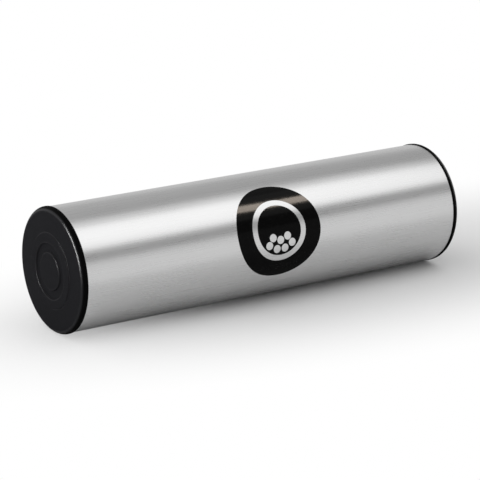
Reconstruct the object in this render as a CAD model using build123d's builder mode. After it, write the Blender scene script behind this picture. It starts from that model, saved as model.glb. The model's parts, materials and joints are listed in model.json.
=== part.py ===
from build123d import *
import os
from math import atan2, cos, degrees, pi, radians, sin, sqrt

# Ganza shaker: an aluminium tube, an end cap pressed into each end, and loose steel shot inside.
# The tube lies along X with its middle over the origin, and the rims of the caps rest on Z = 0.
# All sizes are in millimetres and all angles in degrees.

# Tube
TUBE_OUTER_DIAMETER = 63.5
TUBE_WALL = 1.5
TUBE_LENGTH = 224.0
TUBE_EDGE_BREAK = 0.3

# End cap: the flange that covers the tube's end, with a rounded rim
CAP_OVERHANG = 0.4
CAP_FLANGE_THICKNESS = 3.4
CAP_RIM_LAND = 0.5
CAP_RIM_STEPS = 5
CAP_PLATE_WALL = 2.6

# End cap: the raised round on its face, with a ring groove. Their walls lean by the draft of the mould.
BOSS_DIAMETER = 38.8
BOSS_HEIGHT = 0.6
BOSS_DRAFT = 0.3
GROOVE_OUTER_DIAMETER = 29.0
GROOVE_INNER_DIAMETER = 19.0
GROOVE_DEPTH = 0.9
GROOVE_DRAFT = 0.4

# End cap: the skirt that plugs the tube, with a lead-in at its end
SKIRT_LENGTH = 14.0
SKIRT_WALL = 2.2
SKIRT_CLEARANCE = 0.1
SKIRT_LEAD_LENGTH = 1.6
SKIRT_LEAD_DEPTH = 0.6

# Steel shot: loose balls that lie two layers deep along the bottom of the bore
SHOT_DIAMETER = 5.0
SHOT_CLEARANCE = 0.3
LOWER_ROWS = 6
UPPER_ROWS = 3
LOWER_BED_LENGTH = 76.0
UPPER_BED_LENGTH = 64.0

# Sizes that follow from those above
tube_radius = TUBE_OUTER_DIAMETER / 2
bore_radius = tube_radius - TUBE_WALL
rim_radius = tube_radius + CAP_OVERHANG
rim_round = CAP_FLANGE_THICKNESS - CAP_RIM_LAND
skirt_outer_radius = bore_radius - SKIRT_CLEARANCE
skirt_inner_radius = skirt_outer_radius - SKIRT_WALL

# Levels of the cap along the tube's axis, counted outward from the tube's end
face_level = CAP_FLANGE_THICKNESS
boss_level = face_level + BOSS_HEIGHT
groove_level = boss_level - GROOVE_DEPTH
plate_inner_level = face_level - CAP_PLATE_WALL

axis_height = rim_radius
tube_axis = Axis((0, 0, axis_height), (1, 0, 0))

# Tube: one drawn length with its end edges broken
tube_end_plane = Plane(origin=(-TUBE_LENGTH / 2, 0, axis_height), x_dir=(0, 1, 0), z_dir=(1, 0, 0))
with BuildPart() as tube:
    with BuildSketch(tube_end_plane):
        Circle(tube_radius)
        Circle(bore_radius, mode=Mode.SUBTRACT)
    extrude(amount=TUBE_LENGTH)
    end_edges = tube.edges().filter_by(GeomType.CIRCLE)
    chamfer(end_edges, TUBE_EDGE_BREAK)
tube.part.label = "tube"


def end_cap(label, outward):
    """One end cap. Outward is -1 at the left end and 1 at the right, along X."""
    # Across the sketch: outward from the tube's end. Up the sketch: out from the tube's axis.
    profile_plane = Plane(
        origin=(outward * TUBE_LENGTH / 2, 0, axis_height),
        x_dir=(outward, 0, 0),
        z_dir=(0, -outward, 0),
    )
    face_profile = [
        (boss_level, 0),
        (boss_level, GROOVE_INNER_DIAMETER / 2),
        (groove_level, GROOVE_INNER_DIAMETER / 2 + GROOVE_DRAFT),
        (groove_level, GROOVE_OUTER_DIAMETER / 2 - GROOVE_DRAFT),
        (boss_level, GROOVE_OUTER_DIAMETER / 2),
        (boss_level, BOSS_DIAMETER / 2 - BOSS_DRAFT),
        (face_level, BOSS_DIAMETER / 2),
    ]
    # The rim is a quarter round from the face to the land, in short even steps
    rim_angles = [radians(90 * step / CAP_RIM_STEPS) for step in range(CAP_RIM_STEPS + 1)]
    rim_profile = [
        (CAP_RIM_LAND + rim_round * cos(angle), rim_radius - rim_round + rim_round * sin(angle))
        for angle in rim_angles
    ]
    skirt_profile = [
        (0, rim_radius),
        (0, skirt_outer_radius),
        (-SKIRT_LENGTH + SKIRT_LEAD_LENGTH, skirt_outer_radius),
        (-SKIRT_LENGTH, skirt_outer_radius - SKIRT_LEAD_DEPTH),
        (-SKIRT_LENGTH, skirt_inner_radius),
        (plate_inner_level, skirt_inner_radius),
        (plate_inner_level, 0),
    ]
    with BuildPart() as cap:
        with BuildSketch(profile_plane):
            with BuildLine():
                Polyline(*face_profile, *rim_profile, *skirt_profile, close=True)
            make_face()
        revolve(axis=tube_axis)
    cap.part.label = label
    return cap.part


left_end_cap = end_cap("left_end_cap", -1)
right_end_cap = end_cap("right_end_cap", 1)

# Steel ball: a cube with its edges cut to 26 even flats, with the volume of a round ball of SHOT_DIAMETER
flats_volume = (12 + 10 * sqrt(2)) / 3
flat_width = SHOT_DIAMETER * (pi / 6 / flats_volume) ** (1 / 3)
ball_across_flats = flat_width * (1 + sqrt(2))
with BuildPart() as ball:
    Box(ball_across_flats, ball_across_flats, ball_across_flats)
    chamfer(ball.edges(), (ball_across_flats - flat_width) / 2)

# Rows of shot: the lower rows lie on the bore, and the upper rows lie in the grooves between them.
# Balls of one row meet at their flats. Rows keep clear by the corners of the ball's eight-sided section,
# so that a row can roll along its neighbours.
ball_across_corners = sqrt(ball_across_flats**2 + flat_width**2)
shot_pitch = ball_across_flats + SHOT_CLEARANCE
row_spacing = ball_across_corners + SHOT_CLEARANCE
lower_radius = bore_radius - SHOT_CLEARANCE - ball_across_flats / 2
# An upper row is one row spacing from its upper neighbours and from the two lower rows that carry it
half_row_angle = degrees(atan2(row_spacing, 2 * lower_radius - sqrt(3) * row_spacing))
upper_radius = row_spacing / (2 * sin(radians(half_row_angle)))


def shot_rows(layer, rows, radius, bed_length):
    """One layer of the bed: a part for each row, in order across the tube from -Y to +Y."""
    layer_rows = []
    for row in range(rows):
        offset = row - (rows - 1) / 2
        angle = offset * 2 * half_row_angle
        # The bed has an oval outline, so rows are shorter towards its sides
        row_length = bed_length * sqrt(1 - (2 * offset / (rows + 1)) ** 2)
        # Every row has a ball at mid-length, so each upper ball lies on two lower ones
        balls = 2 * int(row_length / shot_pitch / 2) + 1
        y = radius * sin(radians(angle))
        z = axis_height - radius * cos(radians(angle))
        row_start = -(balls - 1) / 2 * shot_pitch
        places = [Location((row_start + i * shot_pitch, y, z), (angle, 0, 0)) for i in range(balls)]
        with BuildPart() as shot_row:
            with Locations(*places):
                add(ball.part)
        shot_row.part.label = f"shot_{layer}_row_{row + 1}"
        layer_rows.append(shot_row.part)
    return layer_rows


lower_rows = shot_rows("lower", LOWER_ROWS, lower_radius, LOWER_BED_LENGTH)
upper_rows = shot_rows("upper", UPPER_ROWS, upper_radius, UPPER_BED_LENGTH)

# Each piece is written to a file of its own name
os.makedirs("parts", exist_ok=True)
for piece in [tube.part, left_end_cap, right_end_cap, *lower_rows, *upper_rows]:
    export_step(piece, f"parts/{piece.label}.step")
    print(piece.label, len(piece.solids()), "solids,", round(piece.volume), "mm3")
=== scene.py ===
# %% [markdown]
# A ganza is a rattle made from a tube. This one is a satin aluminium tube with a black moulded cap pressed
# into each end, a round black print on its side, and loose steel shot inside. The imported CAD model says
# where each piece is and what it moves with. This lesson gives the pieces true curves, fine edges and
# finishes, and sets them in a small white studio.

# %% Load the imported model
import json
from cmath import exp, phase
from math import cos, pi, radians, sin, tan

import bmesh
import bpy
from mathutils import Matrix, Quaternion, Vector


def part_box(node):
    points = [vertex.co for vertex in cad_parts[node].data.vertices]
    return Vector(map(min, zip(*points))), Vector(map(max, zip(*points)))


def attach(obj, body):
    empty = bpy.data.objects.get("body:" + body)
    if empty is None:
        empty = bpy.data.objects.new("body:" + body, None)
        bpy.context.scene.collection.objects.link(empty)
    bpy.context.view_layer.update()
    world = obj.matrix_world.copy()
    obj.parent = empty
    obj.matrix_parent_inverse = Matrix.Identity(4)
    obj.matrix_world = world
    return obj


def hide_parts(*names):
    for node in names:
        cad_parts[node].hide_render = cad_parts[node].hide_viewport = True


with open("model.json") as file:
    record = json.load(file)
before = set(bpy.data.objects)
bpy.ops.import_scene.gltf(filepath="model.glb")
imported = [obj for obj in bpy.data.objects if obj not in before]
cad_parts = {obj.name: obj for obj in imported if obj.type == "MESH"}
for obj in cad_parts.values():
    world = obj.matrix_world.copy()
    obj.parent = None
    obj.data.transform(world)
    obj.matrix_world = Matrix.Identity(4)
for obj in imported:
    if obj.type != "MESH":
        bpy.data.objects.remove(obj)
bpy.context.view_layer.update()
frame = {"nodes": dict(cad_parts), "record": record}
MM = 0.001


# %% [markdown]
# All pieces share a few sizes with the CAD: the tube's radius, wall and half length, and the radius of the
# caps' rims. The shaker lies on its rims, so the tube's axis is one rim radius above the floor. Blender
# works in metres, so each size is written in millimetres times MM. The sizes are compared with the box of
# the CAD tube, so a slip shows at once.

# %% Sizes shared by the pieces
TUBE_RADIUS = 31.75 * MM
TUBE_WALL = 1.5 * MM
BORE_RADIUS = TUBE_RADIUS - TUBE_WALL
TUBE_END = 112.0 * MM
RIM_RADIUS = 32.15 * MM
AXIS_HEIGHT = RIM_RADIUS

tube_low, tube_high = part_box("tube")
tube_middle = (tube_low + tube_high) / 2
print("tube radius off by mm:", round((tube_high.y - TUBE_RADIUS) / MM, 3))
print("tube end off by mm:", round((tube_high.x - TUBE_END) / MM, 3))
print("tube axis off by mm:", round((tube_middle.z - AXIS_HEIGHT) / MM, 3))

# %% [markdown]
# The camera stands to the front left of the shaker, a little above it, with a long lens that keeps the
# tube's edges nearly parallel. It could be placed by hand until the picture looks right. Instead its
# angles, distance and lens were worked out from the outline of the tube in the photograph, so the whole
# outline falls into place.

# %% Camera
CAMERA_AZIMUTH = radians(-33.185)
CAMERA_ELEVATION = radians(16.834)
CAMERA_DISTANCE = 36.221 * TUBE_RADIUS
AIM_LEFT = 0.1023 * TUBE_RADIUS
AIM_DOWN = 0.0925 * TUBE_RADIUS
FOCAL_LENGTH_PIXELS = 2212.04
PICTURE_PIXELS = 480
SENSOR_MM = 36.0


def in_scene(name, data):
    """A new object with this data, put in the scene."""
    made = bpy.data.objects.new(name, data)
    bpy.context.scene.collection.objects.link(made)
    return made


camera_back = Vector(
    (
        sin(CAMERA_AZIMUTH) * cos(CAMERA_ELEVATION),
        -cos(CAMERA_AZIMUTH) * cos(CAMERA_ELEVATION),
        sin(CAMERA_ELEVATION),
    )
)
camera_right = Vector((cos(CAMERA_AZIMUTH), sin(CAMERA_AZIMUTH), 0))
camera_up = camera_back.cross(camera_right)
camera_aim = Vector((0, 0, AXIS_HEIGHT)) - AIM_LEFT * camera_right - AIM_DOWN * camera_up

camera_data = bpy.data.cameras.new("camera")
camera_data.sensor_width = SENSOR_MM
camera_data.lens = SENSOR_MM * FOCAL_LENGTH_PIXELS / PICTURE_PIXELS
camera = in_scene("camera", camera_data)
camera.location = camera_aim + CAMERA_DISTANCE * camera_back
camera.rotation_euler = camera_back.to_track_quat("Z", "Y").to_euler()
bpy.context.scene.camera = camera
print("lens", round(camera_data.lens, 1), "mm, from", [round(value, 3) for value in camera.location])

# %% [markdown]
# Nearly everything here is turned: the tube, the caps and even the studio's floor are a section swung
# round an axis. Real edges are never quite sharp, so a corner of a section can have an arc. A Bevel
# modifier could round the turned piece afterwards, but an arc in the section is exact and costs few faces.
# A point of the section is a complex number, because turning a spoke about an arc's centre is then one
# multiplication.

# %% Arcs at the corners of a section
ARC_STEPS = 8


def rounded_section(corners):
    """Points of a section from (along, radius, rounding) corners, with an arc at each rounded one."""
    points = []
    for index, (along, radius, rounding) in enumerate(corners):
        corner = complex(along, radius)
        if not rounding:
            points.append(corner)
            continue
        before = complex(*corners[index - 1][:2]) - corner
        after = complex(*corners[(index + 1) % len(corners)][:2]) - corner
        before /= abs(before)
        after /= abs(after)
        half_angle = abs(phase(after / before)) / 2
        middle = before + after
        centre = corner + middle / abs(middle) * rounding / sin(half_angle)
        spoke = corner + before * rounding / tan(half_angle) - centre
        last_spoke = corner + after * rounding / tan(half_angle) - centre
        turn = phase(last_spoke / spoke)
        points += [centre + spoke * exp(1j * turn * step / ARC_STEPS) for step in range(ARC_STEPS + 1)]
    return [(point.real, point.imag) for point in points]


print("each arc has", ARC_STEPS + 1, "points")

# %% [markdown]
# A section is swung round as on a lathe. A Screw modifier could do it, but plain mesh code keeps the rings
# where they are wanted and closes the middle of a disc with triangles. Faces are shaded smooth, and edges
# that fold by more than a set angle stay crisp.

# %% Turning a section
CRISP_DEGREES = 30


def around_tube(along, radius, angle):
    """A point about the tube's axis. The angle goes up from the front."""
    return Vector((along, -radius * cos(angle), AXIS_HEIGHT + radius * sin(angle)))


def finish_mesh(shape, name):
    """A mesh with smooth faces and crisp corners from a bmesh."""
    bmesh.ops.recalc_face_normals(shape, faces=shape.faces)
    mesh = bpy.data.meshes.new(name)
    shape.to_mesh(mesh)
    shape.free()
    mesh.shade_smooth()
    mesh.set_sharp_from_angle(angle=radians(CRISP_DEGREES))
    return mesh


def turned(name, section, place, segments, closed=False):
    """A mesh from a section swung right round. A closed section joins its last point to its first."""
    shape = bmesh.new()
    rings = []
    for along, radius in section:
        # A point on the axis is one vertex that stands for its whole ring
        spots = segments if radius else 1
        ring = [shape.verts.new(place(along, radius, 2 * pi * spot / segments)) for spot in range(spots)]
        rings.append(ring * (segments // spots))
    following = rings[1:] + rings[:1] if closed else rings[1:]
    for ring, next_ring in zip(rings, following):
        for spot in range(segments):
            step = (spot + 1) % segments
            face = (ring[spot], ring[step], next_ring[step], next_ring[spot])
            # A vertex that comes twice is kept once, which leaves a triangle
            shape.faces.new(dict.fromkeys(face))
    return finish_mesh(shape, name)


def piece(name, mesh, finish):
    """An object of one mesh and one finish, put in the scene."""
    mesh.materials.append(finish)
    print(name, len(mesh.polygons), "faces,", finish.name)
    return in_scene(name, mesh)


print("edges over", CRISP_DEGREES, "degrees stay crisp")

# %% [markdown]
# Finishes are node trees. Long chains of Math nodes are hard to read, so a small class wraps a socket and
# turns Python's own operators into Math nodes: 1 - mask * 0.5 adds two of them.

# %% Maths on sockets


class Value:
    """A socket that carries a value. Maths on it adds Math nodes."""

    def __init__(self, finish, socket):
        self.finish = finish
        self.socket = socket

    def output(self, name):
        """Another output of the same node."""
        return Value(self.finish, self.socket.node.outputs[name])

    def maths(self, operation, *values):
        return self.finish.add("ShaderNodeMath", {"operation": operation}, dict(enumerate(values)))

    def __add__(self, other):
        return self.maths("ADD", self, other)

    def __sub__(self, other):
        return self.maths("SUBTRACT", self, other)

    def __rsub__(self, other):
        return self.maths("SUBTRACT", other, self)

    def __mul__(self, other):
        return self.maths("MULTIPLY", self, other)

    def __pow__(self, other):
        return self.maths("POWER", self, other)

    __radd__ = __add__
    __rmul__ = __mul__


print("maths on a value: + - * **")

# %% [markdown]
# Every other node comes from one method, which sets the node's own settings first and then its sockets. The
# sky is a node tree as well, so the same class makes it. A Mix node has sockets for every type of data, some
# with the same names, so the ones for colours are picked by their place.

# %% Nodes of a finish
MIX_FACTOR = 0
MIX_LOW = 6
MIX_HIGH = 7
MIX_COLOUR = 2


class Finish:
    """The nodes of a material, or of the sky."""

    def __init__(self, name, store=bpy.data.materials):
        self.owner = store.new(name)
        self.owner.use_nodes = True
        self.tree = self.owner.node_tree
        self.tree.nodes.clear()

    def add(self, kind, settings=None, sockets=None, output=0):
        """A new node. It gives back one of its outputs as a value."""
        node = self.tree.nodes.new(kind)
        for key, value in (settings or {}).items():
            if key == "stops":
                set_stops(node.color_ramp, value)
            else:
                setattr(node, key, value)
        for key, value in (sockets or {}).items():
            if isinstance(value, Value):
                self.tree.links.new(value.socket, node.inputs[key])
            else:
                node.inputs[key].default_value = value
        return Value(self, node.outputs[output]) if node.outputs else None

    def mix(self, mask, low, high):
        """A colour between two, by a mask from 0 to 1."""
        colours = {MIX_FACTOR: mask, MIX_LOW: low, MIX_HIGH: high}
        return self.add("ShaderNodeMix", {"data_type": "RGBA"}, colours, output=MIX_COLOUR)

    def surface(self, shader):
        """Ends the material with this shader."""
        self.add("ShaderNodeOutputMaterial", sockets={"Surface": shader})
        print(self.owner.name, len(self.tree.nodes), "nodes")
        return self.owner

    def plain_surface(self, sockets):
        """Ends the material with a Principled shader."""
        return self.surface(self.add("ShaderNodeBsdfPrincipled", sockets=sockets))


def grey(value):
    return (value, value, value, 1)


def set_stops(ramp, stops):
    """Grey stops of a ramp from (position, value) pairs."""
    while len(ramp.elements) < len(stops):
        ramp.elements.new(1.0)
    for element, (position, value) in zip(ramp.elements, stops):
        element.position = position
        element.color = grey(value)


print("a middle grey is", grey(0.5))

# %% [markdown]
# The tube is drawn aluminium with a satin finish. Its sheen is soft and long, and up close it has a fine
# grain along its length. A picture of brushed metal would do that, but here a noise stretched along X makes
# it, with some larger clouds: it shifts the grey and the roughness a little, and a very small bump breaks
# up the reflections. The edge tint darkens the metal a little where it turns away from the eye.

# %% Finish of the tube
SATIN_GREY = 0.575
SATIN_GREY_SPREAD = 0.045
SATIN_ROUGHNESS = 0.28
SATIN_ROUGHNESS_SPREAD = 0.09
SATIN_EDGE_TINT = grey(0.75)
GRAIN_SCALE = (30, 2400, 2400)
GRAIN_SHARE = 0.7
GRAIN_BUMP = 0.35
GRAIN_HEIGHT = 0.004 * MM
CLOUD_SCALE = 45

satin = Finish("tube_satin_aluminium")
satin_place = satin.add("ShaderNodeTexCoord", output="Object")
grain_place = satin.add("ShaderNodeMapping", sockets={"Vector": satin_place, "Scale": GRAIN_SCALE})
grain = satin.add("ShaderNodeTexNoise", sockets={"Vector": grain_place, "Scale": 1, "Detail": 3})
clouds = satin.add("ShaderNodeTexNoise", sockets={"Vector": satin_place, "Scale": CLOUD_SCALE, "Detail": 2})
satin_mask = GRAIN_SHARE * grain + (1 - GRAIN_SHARE) * clouds
satin_colour = satin.mix(
    satin_mask,
    grey(SATIN_GREY - SATIN_GREY_SPREAD),
    grey(SATIN_GREY + SATIN_GREY_SPREAD),
)
satin_bump = satin.add(
    "ShaderNodeBump",
    sockets={"Height": grain, "Strength": GRAIN_BUMP, "Distance": GRAIN_HEIGHT},
)
tube_finish = satin.plain_surface(
    {
        "Base Color": satin_colour,
        "Metallic": 1.0,
        "Roughness": SATIN_ROUGHNESS + SATIN_ROUGHNESS_SPREAD * (satin_mask - 0.5),
        "Specular Tint": SATIN_EDGE_TINT,
        "Normal": satin_bump,
    }
)

# %% [markdown]
# The tube itself is a thin wall cut square and deburred. A cylinder with a Solidify modifier would give the
# wall, but with sharp ends. So its section is a long rectangle with four small roundings. It replaces the
# CAD tube, whose ring has fewer sides.

# %% Tube
TUBE_SEGMENTS = 256
TUBE_EDGE_ROUND = 0.3 * MM

tube_section = rounded_section(
    [
        (-TUBE_END, BORE_RADIUS, TUBE_EDGE_ROUND),
        (-TUBE_END, TUBE_RADIUS, TUBE_EDGE_ROUND),
        (TUBE_END, TUBE_RADIUS, TUBE_EDGE_ROUND),
        (TUBE_END, BORE_RADIUS, TUBE_EDGE_ROUND),
    ]
)
tube_mesh = turned("satin_tube", tube_section, around_tube, TUBE_SEGMENTS, closed=True)
tube = piece("satin_tube", tube_mesh, tube_finish)
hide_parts("tube")
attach(tube, "shell")

# %% [markdown]
# The caps are moulded in black plastic. A mould's walls are eroded to a fine matte texture, while its edges
# come out smoother, so the flat face drinks the light and the edges draw thin bright lines. The edges could
# have a material of their own, but it would start and stop hard at the borders of faces. Here one material
# does both: a ramp over the distance from the tube's axis is 1 at each smooth edge and 0 between them.

# %% Smooth edges of the caps
BOSS_RADIUS = 19.4 * MM
GROOVE_OUTER_RADIUS = 14.5 * MM
GROOVE_INNER_RADIUS = 9.5 * MM
EDGE_HALF_WIDTH = 0.4 * MM
RIM_LINE_INNER = 29.8 * MM
RIM_LINE_OUTER = 31.4 * MM
RIM_LINE_FADE = 0.5 * MM


def edge_stop(radius, smooth):
    """A stop of the ramp, which goes from 0 at the axis to 1 at the rim."""
    return (radius / RIM_RADIUS, smooth)


edge_stops = [edge_stop(0, 0)]
for edge_radius in (GROOVE_INNER_RADIUS, GROOVE_OUTER_RADIUS, BOSS_RADIUS):
    edge_stops.append(edge_stop(edge_radius - EDGE_HALF_WIDTH, 0))
    edge_stops.append(edge_stop(edge_radius, 1))
    edge_stops.append(edge_stop(edge_radius + EDGE_HALF_WIDTH, 0))
edge_stops.append(edge_stop(RIM_LINE_INNER, 0))
edge_stops.append(edge_stop(RIM_LINE_INNER + RIM_LINE_FADE, 1))
edge_stops.append(edge_stop(RIM_LINE_OUTER - RIM_LINE_FADE, 1))
edge_stops.append(edge_stop(RIM_LINE_OUTER, 0))
print("ramp of the smooth edges:", len(edge_stops), "stops")

# %% [markdown]
# The textured face is a greyer black. The outer side of the rim is painted a deeper black: painted shade,
# which keeps it dark under the lamps. The smooth edges lose the texture's bump and get a thin clear coat.
# The specular level is far below a real plastic's, so that the face mirrors next to nothing of the pale
# studio, and strong lamps that light only the caps make up for it. With other lamps, this level should go
# up.

# %% Finish of the caps
TEXTURE_DARK = (0.011, 0.011, 0.0125, 1)
TEXTURE_LIGHT = (0.02, 0.02, 0.0225, 1)
TEXTURE_SCALE = 2600
TEXTURE_BUMP = 0.6
TEXTURE_HEIGHT = 0.03 * MM
TEXTURE_ROUGHNESS = 0.52
TEXTURE_ROUGHNESS_SPREAD = 0.1
RIM_SHADE_BLACK = grey(0.003)
RIM_SHADE_FROM = 30.7 * MM
RIM_SHADE_TO = 31.5 * MM
EDGE_ROUGHNESS_DROP = 0.2
EDGE_COAT = 0.2
EDGE_COAT_ROUGHNESS = 0.22
CAP_SPECULAR = 0.007

moulded = Finish("cap_black_plastic")
moulded_place = moulded.add("ShaderNodeTexCoord", output="Object")
cap_y = moulded.add("ShaderNodeSeparateXYZ", sockets={"Vector": moulded_place}, output="Y")
cap_z = cap_y.output("Z") - AXIS_HEIGHT
cap_radius = (cap_y * cap_y + cap_z * cap_z) ** 0.5
smooth_edge = moulded.add(
    "ShaderNodeValToRGB",
    {"stops": edge_stops},
    {"Fac": cap_radius * (1 / RIM_RADIUS)},
)
texture = moulded.add(
    "ShaderNodeTexNoise",
    sockets={"Vector": moulded_place, "Scale": TEXTURE_SCALE, "Detail": 2},
)
moulded_bump = moulded.add(
    "ShaderNodeBump",
    sockets={"Height": texture * (1 - smooth_edge), "Strength": TEXTURE_BUMP, "Distance": TEXTURE_HEIGHT},
)
# Painted shade: the base colour turns a deeper black towards the outer side of the rim
painted_rim_shade = moulded.add(
    "ShaderNodeMapRange",
    sockets={"Value": cap_radius, "From Min": RIM_SHADE_FROM, "From Max": RIM_SHADE_TO},
)
textured_black = moulded.mix(texture, TEXTURE_DARK, TEXTURE_LIGHT)
edge_roughness = TEXTURE_ROUGHNESS - EDGE_ROUGHNESS_DROP * smooth_edge
cap_finish = moulded.plain_surface(
    {
        "Base Color": moulded.mix(painted_rim_shade, textured_black, RIM_SHADE_BLACK),
        "Roughness": edge_roughness + TEXTURE_ROUGHNESS_SPREAD * (texture - 0.5),
        "Specular IOR Level": CAP_SPECULAR,
        "Coat Weight": EDGE_COAT * smooth_edge,
        "Coat Roughness": EDGE_COAT_ROUGHNESS,
        "Normal": moulded_bump,
    }
)

# %% [markdown]
# Each cap has a flange with a rounded rim that covers the tube's end, a raised round with a ring groove on
# its face, and a skirt that plugs the bore. The CAD draws the rim in short steps. Here the whole section
# gets true arcs, down to the small ones at the groove, because these draw the light lines on the face.
# Each corner is (outward from the tube's end, out from the axis, rounding).

# %% Section of a cap
FACE_LEVEL = 3.4 * MM
BOSS_LEVEL = 4.0 * MM
BOSS_DRAFT = 0.3 * MM
GROOVE_LEVEL = 3.1 * MM
GROOVE_DRAFT = 0.4 * MM
PLATE_INNER_LEVEL = 0.8 * MM
SKIRT_CLEARANCE = 0.1 * MM
SKIRT_WALL = 2.2 * MM
SKIRT_OUTER_RADIUS = BORE_RADIUS - SKIRT_CLEARANCE
SKIRT_INNER_RADIUS = SKIRT_OUTER_RADIUS - SKIRT_WALL
SKIRT_LENGTH = 14.0 * MM
SKIRT_LEAD_LENGTH = 1.6 * MM
SKIRT_LEAD_DEPTH = 0.6 * MM
BOSS_TOP_ROUND = 0.35 * MM
BOSS_FOOT_ROUND = 0.2 * MM
GROOVE_FOOT_ROUND = 0.25 * MM
RIM_ROUND = 2.9 * MM
RIM_BACK_ROUND = 0.15 * MM
SKIRT_LEAD_ROUND = 0.5 * MM
SKIRT_END_ROUND = 0.3 * MM
PLATE_ROUND = 1.0 * MM

cap_points = rounded_section(
    [
        (BOSS_LEVEL, 0, 0),
        (BOSS_LEVEL, GROOVE_INNER_RADIUS, BOSS_TOP_ROUND),
        (GROOVE_LEVEL, GROOVE_INNER_RADIUS + GROOVE_DRAFT, GROOVE_FOOT_ROUND),
        (GROOVE_LEVEL, GROOVE_OUTER_RADIUS - GROOVE_DRAFT, GROOVE_FOOT_ROUND),
        (BOSS_LEVEL, GROOVE_OUTER_RADIUS, BOSS_TOP_ROUND),
        (BOSS_LEVEL, BOSS_RADIUS - BOSS_DRAFT, BOSS_TOP_ROUND),
        (FACE_LEVEL, BOSS_RADIUS, BOSS_FOOT_ROUND),
        (FACE_LEVEL, RIM_RADIUS, RIM_ROUND),
        (0, RIM_RADIUS, RIM_BACK_ROUND),
        (0, SKIRT_OUTER_RADIUS, 0),
        (SKIRT_LEAD_LENGTH - SKIRT_LENGTH, SKIRT_OUTER_RADIUS, SKIRT_LEAD_ROUND),
        (-SKIRT_LENGTH, SKIRT_OUTER_RADIUS - SKIRT_LEAD_DEPTH, SKIRT_END_ROUND),
        (-SKIRT_LENGTH, SKIRT_INNER_RADIUS, SKIRT_END_ROUND),
        (PLATE_INNER_LEVEL, SKIRT_INNER_RADIUS, PLATE_ROUND),
        (PLATE_INNER_LEVEL, 0, 0),
    ]
)
print("section of a cap:", len(cap_points), "points")

# %% [markdown]
# Both caps come out of one mould. The second could be a mirrored copy of the first, but a mirrored object
# has a negative scale, which later steps have to undo. Instead the section itself is turned round by the
# sign of its end and swung once more.

# %% Caps
CAP_SEGMENTS = 192
CAP_ENDS = (("left_cap", -1), ("right_cap", 1))

caps = {}
for cap_name, end in CAP_ENDS:
    cap_section = [(end * (TUBE_END + out), radius) for out, radius in cap_points]
    cap = piece(cap_name, turned(cap_name, cap_section, around_tube, CAP_SEGMENTS), cap_finish)
    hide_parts(cap_name.replace("_cap", "_end_cap"))
    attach(cap, "shell")
    caps[cap_name] = cap

# %% [markdown]
# The print on the tube's side is one pass of glossy black ink. It lies flat and smooth, so it mirrors a
# narrow lamp as a clear band, where the satin metal beside it only glows. A trace of unevenness in the
# black and the roughness keeps it from looking like glass. The specular level is low for the same reason as
# the caps', and the ink has a strong lamp of its own.

# %% Finish of the print
INK_BLACK = grey(0.0015)
INK_LIGHTER = grey(0.003)
INK_ROUGHNESS = 0.1
INK_ROUGHNESS_SPREAD = 0.03
INK_SPECULAR = 0.04
INK_SCALE = 700

ink = Finish("print_black_ink")
ink_place = ink.add("ShaderNodeTexCoord", output="Object")
ink_film = ink.add("ShaderNodeTexNoise", sockets={"Vector": ink_place, "Scale": INK_SCALE, "Detail": 2})
ink_finish = ink.plain_surface(
    {
        "Base Color": ink.mix(ink_film, INK_BLACK, INK_LIGHTER),
        "Roughness": INK_ROUGHNESS + INK_ROUGHNESS_SPREAD * ink_film,
        "Specular IOR Level": INK_SPECULAR,
    }
)

# %% [markdown]
# The print is a disc with a plain sign of what the tube holds: a ring, which is the tube seen from its end,
# and a few dots of shot lying in it. The sign is bare metal, so it is left out of the ink. Booleans could
# cut it from a disc, but a flat curve made of circles fills the space between them by itself.

# %% Outline of the print
PRINT_RADIUS = 25.2 * MM
RING_OUTER_RADIUS = 16.0 * MM
RING_INNER_RADIUS = 13.0 * MM
DOT_RADIUS = 2.1 * MM
LOWER_DOTS_MM = ((-6.9, -7.3), (-2.4, -9.6), (2.4, -9.6), (6.9, -7.3))
UPPER_DOTS_MM = ((-4.4, -3.6), (0, -5.2), (4.4, -3.6))
OUTLINE_STEPS = 24
QUARTER_HANDLE = 0.5523

outline = bpy.data.curves.new("print_outline", "CURVE")
outline.dimensions = "2D"
outline.fill_mode = "BOTH"
outline.resolution_u = OUTLINE_STEPS


def add_circle(centre_x, centre_y, radius):
    """A Bezier circle of four points."""
    spline = outline.splines.new("BEZIER")
    spline.bezier_points.add(3)
    spline.use_cyclic_u = True
    for quarter, point in enumerate(spline.bezier_points):
        angle = quarter * pi / 2
        place = Vector((centre_x + radius * cos(angle), centre_y + radius * sin(angle), 0))
        along = Vector((-sin(angle), cos(angle), 0)) * radius * QUARTER_HANDLE
        point.handle_left_type = "FREE"
        point.handle_right_type = "FREE"
        point.co = place
        point.handle_left = place - along
        point.handle_right = place + along


add_circle(0, 0, PRINT_RADIUS)
add_circle(0, 0, RING_OUTER_RADIUS)
add_circle(0, 0, RING_INNER_RADIUS)
for dot_x, dot_y in LOWER_DOTS_MM + UPPER_DOTS_MM:
    add_circle(dot_x * MM, dot_y * MM, DOT_RADIUS)
print("outline of the print:", len(outline.splines), "circles")

# %% [markdown]
# The filled curve becomes a flat mesh with a few large faces, which can't bend. Subdividing it would add
# points everywhere. Cuts across it add them only in the direction in which the tube curves, so it is cut
# into narrow strips, like the staves of a barrel.

# %% Strips of ink
PRINT_STRIPS = 60
MERGE_DISTANCE = 0.001 * MM

flat_print = in_scene("flat_print", outline)
flat_result = flat_print.evaluated_get(bpy.context.evaluated_depsgraph_get())
flat_mesh = bpy.data.meshes.new_from_object(flat_result)
bpy.data.objects.remove(flat_print)
bpy.data.curves.remove(outline)

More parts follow.
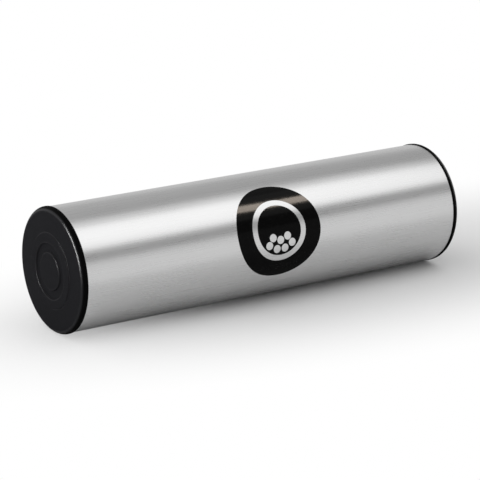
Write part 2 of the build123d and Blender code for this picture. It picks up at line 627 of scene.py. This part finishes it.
film = bmesh.new()
film.from_mesh(flat_mesh)
bpy.data.meshes.remove(flat_mesh)
for strip in range(1, PRINT_STRIPS):
    cut_y = PRINT_RADIUS * (2 * strip / PRINT_STRIPS - 1)
    everything = film.verts[:] + film.edges[:] + film.faces[:]
    bmesh.ops.bisect_plane(film, geom=everything, plane_co=(0, cut_y, 0), plane_no=(0, 1, 0))
bmesh.ops.remove_doubles(film, verts=film.verts, dist=MERGE_DISTANCE)
film_area = sum(face.calc_area() for face in film.faces)
print("ink covers", round(film_area / MM**2), "mm2")

# %% [markdown]
# The strips are rolled on to the tube and thickened to a film. A Shrinkwrap modifier could press them on,
# but rolling keeps every length as it was printed. The film's underside lies just inside the metal, so no
# gap shows, and its top stands out by the thickness of the ink.

# %% Print on the tube
PRINT_X = 0.35 * MM
PRINT_ANGLE = radians(18.2)
PRINT_THICKNESS = 0.03 * MM
PRINT_SINK = 0.02 * MM

for vertex in film.verts:
    roll = PRINT_ANGLE + vertex.co.y / TUBE_RADIUS
    vertex.co = around_tube(PRINT_X + vertex.co.x, TUBE_RADIUS - PRINT_SINK, roll)
film_top = bmesh.ops.extrude_face_region(film, geom=film.faces[:])
for vertex in film_top["geom"]:
    if isinstance(vertex, bmesh.types.BMVert):
        from_axis = Vector((0, vertex.co.y, vertex.co.z - AXIS_HEIGHT))
        vertex.co += from_axis.normalized() * (PRINT_SINK + PRINT_THICKNESS)
side_print = piece("side_print", finish_mesh(film, "side_print"), ink_finish)
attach(side_print, "shell")

# %% [markdown]
# The shot is ground steel, like the balls of a bearing. It can't be seen from outside, but it is what moves,
# so it gets a real finish too. One plain grey would do for polished balls. A noise makes the metal uneven
# instead, as if from rubbing against the tube.

# %% Finish of the shot
STEEL_DARK = grey(0.46)
STEEL_LIGHT = grey(0.62)
STEEL_ROUGHNESS = 0.16
STEEL_ROUGHNESS_SPREAD = 0.16
RUBBED_SCALE = 900

steel = Finish("shot_ground_steel")
steel_place = steel.add("ShaderNodeTexCoord", output="Object")
rubbed = steel.add("ShaderNodeTexNoise", sockets={"Vector": steel_place, "Scale": RUBBED_SCALE, "Detail": 3})
shot_finish = steel.plain_surface(
    {
        "Base Color": steel.mix(rubbed, STEEL_DARK, STEEL_LIGHT),
        "Metallic": 1.0,
        "Roughness": STEEL_ROUGHNESS + STEEL_ROUGHNESS_SPREAD * rubbed,
    }
)

# %% [markdown]
# The CAD cuts each ball to 26 flats to stay light, and lays the balls in rows, each of which is a node. Here
# a row gets as many round balls as its box has room for, at the same spacing, and moves with the row's own
# body. An icosphere has even faces all round, where a globe of rings would bunch them at its poles.

# %% Shot
SHOT_RADIUS = 2.5 * MM
SHOT_PITCH = 5.028 * MM
SHOT_DETAIL = 3

node_bodies = {}
for body, nodes in frame["record"]["behaviour"]["bodies"].items():
    node_bodies.update(dict.fromkeys(nodes, body))

for node in sorted(name for name in frame["nodes"] if name.startswith("shot_")):
    row_low, row_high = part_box(node)
    row_middle = (row_low + row_high) / 2
    balls = round((row_high.x - row_low.x) / SHOT_PITCH)
    row = bmesh.new()
    for ball in range(balls):
        ball_place = row_middle + Vector(((ball - (balls - 1) / 2) * SHOT_PITCH, 0, 0))
        bmesh.ops.create_icosphere(
            row,
            subdivisions=SHOT_DETAIL,
            radius=SHOT_RADIUS,
            matrix=Matrix.Translation(ball_place),
        )
    row_name = node.replace("shot_", "balls_")
    row_piece = piece(row_name, finish_mesh(row, row_name), shot_finish)
    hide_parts(node)
    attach(row_piece, node_bodies[node])

# %% [markdown]
# The floor is pale grey paint. Paint alone would leave the background grey, and stronger lamps would burn
# out the metal. So away from the shaker it turns into plain white light wherever the camera or a
# reflection looks at it, which keeps the soft shadow near the shaker. The paint still takes and gives the
# light of the lamps. The white begins round an oval along the tube, and the camera sees it begin closer
# to the shaker than reflections do.

# %% Finish of the floor
FLOOR_GREY = 0.78
SHADOW_X = 0.1
SHADOW_LENGTH_TO_WIDTH = 2.5
SHADOW_REACH = 0.062
GLOW_REACH = 0.23
CAMERA_STRETCH = 1.7

pale = Finish("studio_floor")
pale_place = pale.add("ShaderNodeTexCoord", output="Object")
floor_x = pale.add("ShaderNodeSeparateXYZ", sockets={"Vector": pale_place}, output="X")
floor_y = floor_x.output("Y")
shaker_x = (1 / SHADOW_LENGTH_TO_WIDTH) * (floor_x - SHADOW_X)
ray = pale.add("ShaderNodeLightPath", output="Is Camera Ray")
seen = ray + ray.output("Is Glossy Ray") + ray.output("Is Transmission Ray")
away = (shaker_x * shaker_x + floor_y * floor_y) ** 0.5
# For the camera every spot counts as farther away, so the white begins closer
away_as_seen = away * (1 + (CAMERA_STRETCH - 1) * ray)
glow = pale.add(
    "ShaderNodeMapRange",
    {"interpolation_type": "SMOOTHSTEP"},
    {"Value": away_as_seen, "From Min": SHADOW_REACH, "From Max": GLOW_REACH},
)
pale_paint = pale.add("ShaderNodeBsdfDiffuse", sockets={"Color": grey(FLOOR_GREY)})
pale_light = pale.add("ShaderNodeEmission", sockets={"Color": grey(1.0), "Strength": 1.0})
floor_finish = pale.surface(
    pale.add("ShaderNodeMixShader", sockets={0: glow * seen, 1: pale_paint, 2: pale_light})
)

# %% [markdown]
# Metal shows its surroundings more than itself, and the floor gives the tube its light lower half. A flat
# plane would end in a hard horizon in that reflection. So the floor curves up into a low round wall, like
# the paper sweep of a photographer, and is one more turned section.

# %% Floor
FLOOR_RADIUS = 3.0
WALL_HEIGHT = 1.14
WALL_ROUND = 0.7
FLOOR_SEGMENTS = 96


def around_studio(height, radius, angle):
    """A point about the upright line through the middle of the floor."""
    return Vector((radius * cos(angle), radius * sin(angle), height))


floor_section = rounded_section(
    [
        (0, 0, 0),
        (0, FLOOR_RADIUS, WALL_ROUND),
        (WALL_HEIGHT, FLOOR_RADIUS, 0),
    ]
)
floor = piece("floor", turned("floor", floor_section, around_studio, FLOOR_SEGMENTS), floor_finish)

# %% [markdown]
# Above the wall is a grey sky, which fills the rest of what the metal shows. An even grey would light the
# shaker too, but the tube would look flat in it. This sky is darker in front, lighter behind, and lightest
# at the left, which lights the scene from a side that the camera doesn't see mirrored in the tube.

# %% Sky
SKY_FRONT = grey(0.335)
SKY_BACK = grey(0.85)
SKY_LEFT = grey(1.6)
SKY_FALLOFF = 3

sky = Finish("studio_sky", bpy.data.worlds)
sky_place = sky.add("ShaderNodeTexCoord", output="Generated")
sky_y = sky.add("ShaderNodeSeparateXYZ", sockets={"Vector": sky_place}, output="Y")
to_back = (0.5 + 0.5 * sky_y) ** SKY_FALLOFF
to_left = (0.5 - 0.5 * sky_y.output("X")) ** SKY_FALLOFF
sky_grey = sky.mix(to_left, sky.mix(to_back, SKY_FRONT, SKY_BACK), SKY_LEFT)
sky_light = sky.add("ShaderNodeBackground", sockets={"Color": sky_grey, "Strength": 1.0})
sky.add("ShaderNodeOutputWorld", sockets={"Surface": sky_light})
bpy.context.scene.world = sky.owner
print(sky.owner.name, len(sky.tree.nodes), "nodes")

# %% [markdown]
# The wide soft sheen along the tube is the reflection of two long lamps above it, in front and to the right.
# One lamp alone would let it fade out too fast at its sides, so a second, wider and dimmer one lies over
# the first. Both are tilted a little, so that the sheen changes along the tube. A dim broad lamp behind on
# the left lights the floor and lets the shadow fall to the front. A lamp's brightness is given as
# radiance, what it looks like in a mirror, and its power follows from its size.

# %% Soft lamps
LONG_LAMP_X = 0.75
LONG_LAMP_LENGTH = 1.6
LONG_LAMP_DISTANCE = 1.3
LONG_LAMP_TILT = 14


def softbox(name, place, aim, width, height, radiance, roll=0):
    """A rectangular lamp that faces a point, with its width level or rolled by an angle in degrees."""
    lamp_data = bpy.data.lights.new(name, "AREA")
    lamp_data.shape = "RECTANGLE"
    lamp_data.size = width
    lamp_data.size_y = height
    lamp_data.energy = radiance * pi * width * height
    lamp = in_scene(name, lamp_data)
    lamp.location = place
    facing = (Vector(aim) - Vector(place)).to_track_quat("-Z", "Y")
    lamp.rotation_euler = (facing @ Quaternion((0, 0, 1), radians(roll))).to_euler()
    lamp.visible_camera = False
    print(name, round(lamp_data.energy, 2), "W")
    return lamp


def long_lamp(name, distance, angle, spread, radiance, tilt=0):
    """A lamp along the tube, at an angle up from the front, that spans another angle as the tube sees it."""
    return softbox(
        name,
        place=around_tube(LONG_LAMP_X, distance, radians(angle)),
        aim=around_tube(LONG_LAMP_X, 0, 0),
        width=LONG_LAMP_LENGTH,
        height=2 * distance * tan(radians(spread / 2)),
        radiance=radiance,
        roll=tilt,
    )


long_lamp("long_lamp", LONG_LAMP_DISTANCE, angle=67.6, spread=42.6, radiance=0.73, tilt=LONG_LAMP_TILT)
long_lamp("long_lamp_edge", LONG_LAMP_DISTANCE, angle=73.2, spread=58.0, radiance=0.56, tilt=LONG_LAMP_TILT)
softbox("back_lamp", place=(-0.8, 0.65, 0.7), aim=(0, 0, 0), width=1.6, height=1.5, radiance=0.4)

# %% [markdown]
# Glossy ink and black plastic show clear lines of small bright lamps, which would be far too strong for the
# metal. So light linking keeps each of these lamps to one piece, where it shows in reflections only. The
# print has a narrow warm lamp along the tube. It is a little nearer than the long lamps, because lamps that
# share a plane can hide each other. Each cap has a tilted strip beyond its end, which draws the line on the
# rim, and a card on the floor, which lights the cap from below.

# %% Lamps for one piece
PRINT_LAMP_DISTANCE = 1.2
PRINT_LAMP_COLOUR = (1, 0.87, 0.75)
STRIP_PLACE = (1.08, 0.22, 0.22)
STRIP_AIM = (0.115, 0, 0.03)
STRIP_TILT = 39
CARD_PLACE = (0.52, -0.03, 0.004)
CARD_AIM = (0.52, -0.03, 1)


def light_only(lit_piece, *lamps):
    """Keeps the light of these lamps to the reflections in one piece."""
    lit = bpy.data.collections.new(f"lit_{lit_piece.name}")
    lit.objects.link(lit_piece)
    for lamp in lamps:
        lamp.light_linking.receiver_collection = lit
        lamp.visible_diffuse = False


def at_end(end, place):
    """A place by the right end, or its mirror image by the left one."""
    x, y, z = place
    return (end * x, y, z)


print_lamp = long_lamp("print_lamp", PRINT_LAMP_DISTANCE, angle=67.2, spread=12.9, radiance=65.0)
print_lamp.data.color = PRINT_LAMP_COLOUR
light_only(side_print, print_lamp)
for cap_name, end in CAP_ENDS:
    strip = softbox(
        f"{cap_name}_strip",
        place=at_end(end, STRIP_PLACE),
        aim=at_end(end, STRIP_AIM),
        width=0.64,
        height=0.2,
        radiance=78.0,
        roll=end * STRIP_TILT,
    )
    card = softbox(
        f"{cap_name}_card",
        place=at_end(end, CARD_PLACE),
        aim=at_end(end, CARD_AIM),
        width=0.45,
        height=0.15,
        radiance=8.0,
    )
    light_only(caps[cap_name], strip, card)

# %% [markdown]
# The Standard view shows colours as they are, where a filmic one would turn the white background grey.

# %% Colour view
bpy.context.scene.view_settings.view_transform = "Standard"
